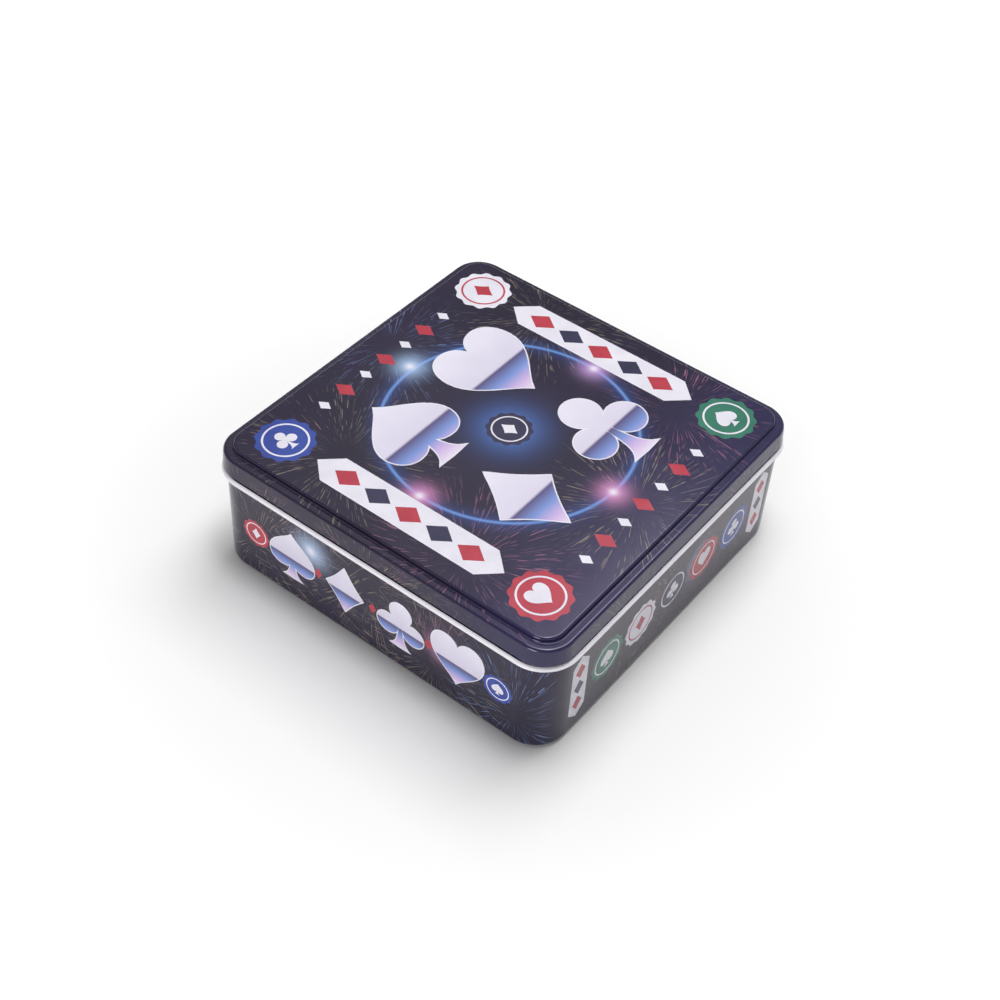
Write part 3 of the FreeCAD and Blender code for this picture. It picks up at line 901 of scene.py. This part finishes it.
# Sizes of the contents, in metres: places come from the frame, the marks' sizes are their own
CHIP_LOW, CHIP_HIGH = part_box("white_chips_1")
CHIP_RADIUS = (CHIP_HIGH.z - CHIP_LOW.z) / 2
CHIP_AXIS_X = -(CHIP_LOW.x + CHIP_HIGH.x) / 2
CHIP_AXIS_Z = (CHIP_LOW.z + CHIP_HIGH.z) / 2
CHIP_PITCH = 3.25 * MM
CHIP_BLOCKS = 8.0
CHIP_BLOCK_EDGE = (0.17, 0.19)
CHIP_RIM_SHARES = (0.80, 0.81)
CHIP_RING_RADIUS = 10.8 * MM
CHIP_RING_EDGE = (0.25 * MM, 0.35 * MM)
CHIP_RELIEF = 0.02 * MM
CARD_LOW, CARD_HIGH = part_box("heart_cards")
CARD_MIDDLE = (CARD_LOW + CARD_HIGH) / 2
CARD_HALF = (CARD_HIGH - CARD_LOW) / 2
CARD_FIELD_MARGIN = (4.0 * MM, 4.1 * MM)
CARD_RULE_OUTSIDE = (2.9 * MM, 3.0 * MM)
CARD_RULE_INSIDE = (3.4 * MM, 3.5 * MM)
LATTICE_PITCH = 5.0 * MM
LATTICE_LINE_EDGE = (0.07, 0.10)
LATTICE_KNOT_EDGE = (0.36, 0.40)
BUTTON_LOW, BUTTON_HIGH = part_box("dealer_button")
BUTTON_MIDDLE = (BUTTON_LOW + BUTTON_HIGH) / 2
BUTTON_RING_RADIUS = 13.0 * MM
BUTTON_RING_EDGE = (0.45 * MM, 0.55 * MM)
STAR_POINTS = 5.0
STAR_TIP = 8.5 * MM
STAR_EDGE = 0.05 * MM
STAR_EDGE_TURN = math.radians(72.0)
FINE_RELIEF = 0.01 * MM
TRAY_RELIEF = 0.03 * MM

IVORY = (0.80, 0.79, 0.77)
CARD_RED = (0.42, 0.03, 0.05)
BUTTON_BLACK = (0.02, 0.02, 0.03)
WHOLE_TURN = 2 * math.pi


def chip_plastic(name, colour, spot):
    """Moulded chip plastic, with blocks of a second colour round the edge, each chip turned its own way."""
    graph = Graph(name)
    place = graph.place()
    x, y, z = graph.split(place)
    across = graph.math("SUBTRACT", graph.math("ABSOLUTE", x), CHIP_AXIS_X)
    up = graph.math("SUBTRACT", z, CHIP_AXIS_Z)
    radius = graph.vector("LENGTH", graph.join(across, up))
    count = graph.math("FLOOR", graph.math("DIVIDE", y, CHIP_PITCH))
    chance = graph.node("ShaderNodeTexWhiteNoise", {"noise_dimensions": "1D"}, W=count).outputs["Value"]
    turn = graph.math("DIVIDE", graph.math("ARCTAN2", up, across), WHOLE_TURN)
    own_turn = graph.math("MULTIPLY", chance, CHIP_BLOCKS)
    phase = graph.math("FRACT", graph.math("MULTIPLY_ADD", turn, CHIP_BLOCKS, own_turn))
    block = graph.between(graph.apart(phase, 0.5), *CHIP_BLOCK_EDGE, 1.0, 0.0)
    rim = graph.between(radius, *(CHIP_RADIUS * share for share in CHIP_RIM_SHARES))
    ring = graph.between(graph.apart(radius, CHIP_RING_RADIUS), *CHIP_RING_EDGE, 1.0, 0.0)
    patchy = graph.between(graph.noise(place, scale=260.0, detail=3.0), 0.35, 0.65, 0.9, 1.06)
    printed = graph.blend(ring, graph.blend(graph.product(block, rim), colour, spot), spot)
    grain = graph.noise(place, scale=2200.0)
    roughness = graph.between(grain, 0.3, 0.7, 0.36, 0.50)
    return graph.surface(graph.shaded(printed, patchy), roughness, grain, CHIP_RELIEF)


def card_stock():
    """Coated paper: a lattice in a ruled border on the backs, and pale cut edges."""
    graph = Graph("card_stock")
    place = graph.place()
    across, along, _ = graph.split(graph.vector("SUBTRACT", place, CARD_MIDDLE))
    margin = graph.math(
        "MINIMUM",
        graph.math("SUBTRACT", CARD_HALF.x, graph.math("ABSOLUTE", across)),
        graph.math("SUBTRACT", CARD_HALF.y, graph.math("ABSOLUTE", along)),
    )
    lines = []
    for sign in (1.0, -1.0):
        slant = graph.math("DIVIDE", graph.math("MULTIPLY_ADD", along, sign, across), LATTICE_PITCH)
        lines.append(graph.apart(graph.math("FRACT", slant), 0.5))
    mesh = graph.between(graph.math("MINIMUM", *lines), *LATTICE_LINE_EDGE, 1.0, 0.0)
    knots = graph.between(graph.math("MAXIMUM", *lines), *LATTICE_KNOT_EDGE)
    inked = graph.math("SUBTRACT", 1.0, graph.math("MAXIMUM", mesh, knots))
    field = graph.product(graph.between(margin, *CARD_FIELD_MARGIN), inked)
    rule = graph.product(
        graph.between(margin, *CARD_RULE_OUTSIDE), graph.between(margin, *CARD_RULE_INSIDE, 1.0, 0.0)
    )
    upward = graph.split(graph.node("ShaderNodeNewGeometry").outputs["Normal"])[2]
    printed = graph.product(graph.math("MAXIMUM", rule, field), graph.between(upward, 0.5, 0.6))
    fibre = graph.noise(place, scale=1500.0)
    paper = graph.ramp(fibre, ((0.3, IVORY), (0.7, (0.88, 0.87, 0.86))))
    roughness = graph.between(fibre, 0.3, 0.7, 0.34, 0.46)
    return graph.surface(graph.blend(printed, paper, CARD_RED), roughness, fibre, FINE_RELIEF)


def button_plastic():
    """White moulded plastic with a printed ring and a five pointed star in the middle of each face."""
    graph = Graph("button_plastic")
    place = graph.place()
    across, along, _ = graph.split(graph.vector("SUBTRACT", place, BUTTON_MIDDLE))
    radius = graph.vector("LENGTH", graph.join(across, along))
    turn = graph.math("DIVIDE", graph.math("ARCTAN2", across, along), WHOLE_TURN)
    phase = graph.math("FRACT", graph.math("MULTIPLY_ADD", turn, STAR_POINTS, 0.5))
    from_tip = graph.math("MULTIPLY", graph.apart(phase, 0.5), WHOLE_TURN / STAR_POINTS)
    # An edge's normal is turned from the tip that the edge runs to
    slope = graph.math("COSINE", graph.math("SUBTRACT", from_tip, STAR_EDGE_TURN))
    edge = STAR_TIP * math.cos(STAR_EDGE_TURN)
    star = graph.between(graph.math("MULTIPLY", radius, slope), edge - STAR_EDGE, edge, 1.0, 0.0)
    ring = graph.between(graph.apart(radius, BUTTON_RING_RADIUS), *BUTTON_RING_EDGE, 1.0, 0.0)
    cloud = graph.noise(place, scale=200.0, detail=3.0)
    base = graph.ramp(cloud, ((0.3, IVORY), (0.7, (0.86, 0.85, 0.84))))
    colour = graph.blend(graph.math("MAXIMUM", star, ring), base, BUTTON_BLACK)
    grain = graph.noise(place, scale=1800.0)
    return graph.surface(colour, graph.between(grain, 0.3, 0.7, 0.28, 0.40), grain, FINE_RELIEF)


def formed_plastic():
    """Black sheet plastic drawn into a mould, with a fine leathery grain."""
    graph = Graph("formed_plastic")
    place = graph.place()
    cloud = graph.noise(place, scale=60.0, detail=3.0)
    colour = graph.ramp(cloud, ((0.3, (0.010, 0.010, 0.011)), (0.7, (0.018, 0.018, 0.019))))
    cells = graph.node("ShaderNodeTexVoronoi", Vector=place, Scale=1500.0).outputs["Distance"]
    return graph.surface(colour, graph.between(cloud, 0.3, 0.7, 0.34, 0.46), cells, TRAY_RELIEF)


def paint(material, names):
    """Gives CAD nodes a material."""
    for name in names:
        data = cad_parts[name].data
        data.materials.clear()
        data.materials.append(material)


# Chips: the colour of each kind, and the colour of the blocks round its edge
CHIP_COLOURS = {
    "white": (IVORY, (0.03, 0.06, 0.28)),
    "red": ((0.45, 0.03, 0.04), IVORY),
    "green": ((0.02, 0.17, 0.09), IVORY),
    "black": ((0.016, 0.016, 0.022), IVORY),
    "blue": ((0.025, 0.06, 0.30), IVORY),
}
for chip_colour, (chip_base, chip_spot) in CHIP_COLOURS.items():
    chips = [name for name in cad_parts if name.startswith(chip_colour + "_chips")]
    paint(chip_plastic(chip_colour + "_chip", chip_base, chip_spot), chips)
paint(card_stock(), [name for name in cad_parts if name.endswith("_cards")])
paint(button_plastic(), ["dealer_button"])
paint(formed_plastic(), ["chip_tray"])
body = make_body()
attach(body, "tin")
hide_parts("tin_body")
lid = make_lid()
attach(lid, "lid")
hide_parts("tin_lid")

# The stage, in metres: the floor's lift grows with the distance from the tin, up to white far off
FLOOR_HALF = 4.0
FLOOR_COLOUR = (0.92, 0.92, 0.92)
FLOOR_LIFT_DISTANCES = (0.10, 0.32)
FLOOR_LIFT_LEVELS = (0.035, 0.45)
FLOOR_FAR_DISTANCES = (0.5, 2.0)
WORLD_LIGHT = 0.12
WORLD_IN_REFLECTIONS = 0.42

# Area lamps: name, place, target, size in metres, watts
LAMPS = (
    ("overhead", (0.0, -0.12, 1.1), (0, -0.12, 0), (0.22, 0.22), 1.6),
    ("softbox", (0.32, 0.0, 1.08), (0, 0, 0.03), (0.6, 0.9), 8.2),
    ("ceiling", (0.45, 0.25, 1.6), (0.45, 0.25, 0), (2.0, 2.0), 6.0),
    ("low_fill", (-1.2, -0.15, 0.12), (0, 0, 0.03), (0.5, 0.5), 9.0),
)

# The photograph's view, with its slight roll
CAMERA_PLACE = Vector((-0.38166, -0.26502, 0.48745))
CAMERA_TARGET = Vector((-0.00154, 0.00100, 0.0200))
CAMERA_ROLL = math.radians(3.9896)
CAMERA_SENSOR = 36.0
CAMERA_LENS = 59.62


def floor_paper():
    """Pale paper that keeps the soft shadow; its lift shows only to the camera and in reflections."""
    graph = Graph("floor_paper")
    ray = graph.node("ShaderNodeLightPath").outputs
    seen = graph.math("MAXIMUM", ray["Is Camera Ray"], ray["Is Glossy Ray"])
    distance = graph.vector("LENGTH", graph.place())
    near_level = graph.between(distance, *FLOOR_LIFT_DISTANCES, *FLOOR_LIFT_LEVELS)
    far_level = graph.product(graph.between(distance, *FLOOR_FAR_DISTANCES), ray["Is Camera Ray"])
    level = graph.math("MULTIPLY_ADD", seen, near_level, far_level)
    paper = graph.node("ShaderNodeBsdfDiffuse", Color=FLOOR_COLOUR)
    lift = graph.node("ShaderNodeEmission", Color=(1, 1, 1), Strength=level)
    both = graph.node("ShaderNodeAddShader")
    graph.put(both.inputs[0], paper.outputs[0])
    graph.put(both.inputs[1], lift.outputs[0])
    graph.put(graph.output.inputs["Surface"], both.outputs[0])
    return graph.material


def set_floor():
    data = bpy.data.meshes.new("floor")
    corners = [(side * FLOOR_HALF, row * FLOOR_HALF, 0) for side, row in CORNER_SIGNS]
    data.from_pydata(corners, [], [(0, 1, 2, 3)])
    data.materials.append(floor_paper())
    link("floor", data)


def set_world():
    """Dim white light all round, brighter in reflections, and plain white to the camera."""
    world = bpy.data.worlds.new("studio")
    world.use_nodes = True
    nodes = world.node_tree.nodes
    links = world.node_tree.links
    ray = nodes.new("ShaderNodeLightPath").outputs
    in_reflections = nodes.new("ShaderNodeMapRange")
    in_reflections.inputs["To Min"].default_value = WORLD_LIGHT
    in_reflections.inputs["To Max"].default_value = WORLD_IN_REFLECTIONS
    links.new(ray["Is Glossy Ray"], in_reflections.inputs["Value"])
    to_camera = nodes.new("ShaderNodeMapRange")
    to_camera.inputs["To Max"].default_value = 1.0
    links.new(in_reflections.outputs[0], to_camera.inputs["To Min"])
    links.new(ray["Is Camera Ray"], to_camera.inputs["Value"])
    background = nodes["Background"]
    background.inputs["Color"].default_value = (1, 1, 1, 1)
    links.new(to_camera.outputs[0], background.inputs["Strength"])
    bpy.context.scene.world = world


def set_lamps():
    """Soft studio light."""
    for name, place, target, size, watts in LAMPS:
        lamp = bpy.data.lights.new(name, "AREA")
        lamp.shape = "RECTANGLE"
        lamp.size, lamp.size_y = size
        lamp.energy = watts
        light = link(name, lamp)
        light.location = place
        light.rotation_euler = (Vector(target) - Vector(place)).to_track_quat("-Z", "Y").to_euler()


def set_camera():
    back = (CAMERA_PLACE - CAMERA_TARGET).normalized()
    level = Vector((0, 0, 1)).cross(back).normalized()
    upright = back.cross(level)
    right = level * math.cos(CAMERA_ROLL) + upright * math.sin(CAMERA_ROLL)
    up = upright * math.cos(CAMERA_ROLL) - level * math.sin(CAMERA_ROLL)
    turned = Matrix((right, up, back)).transposed().to_4x4()
    camera = link("camera", bpy.data.cameras.new("camera"))
    camera.data.sensor_width = CAMERA_SENSOR
    camera.data.lens = CAMERA_LENS
    camera.matrix_world = Matrix.Translation(CAMERA_PLACE) @ turned
    bpy.context.scene.camera = camera


set_floor()
set_world()
set_lamps()
set_camera()
bpy.context.scene.view_settings.view_transform = "Standard"
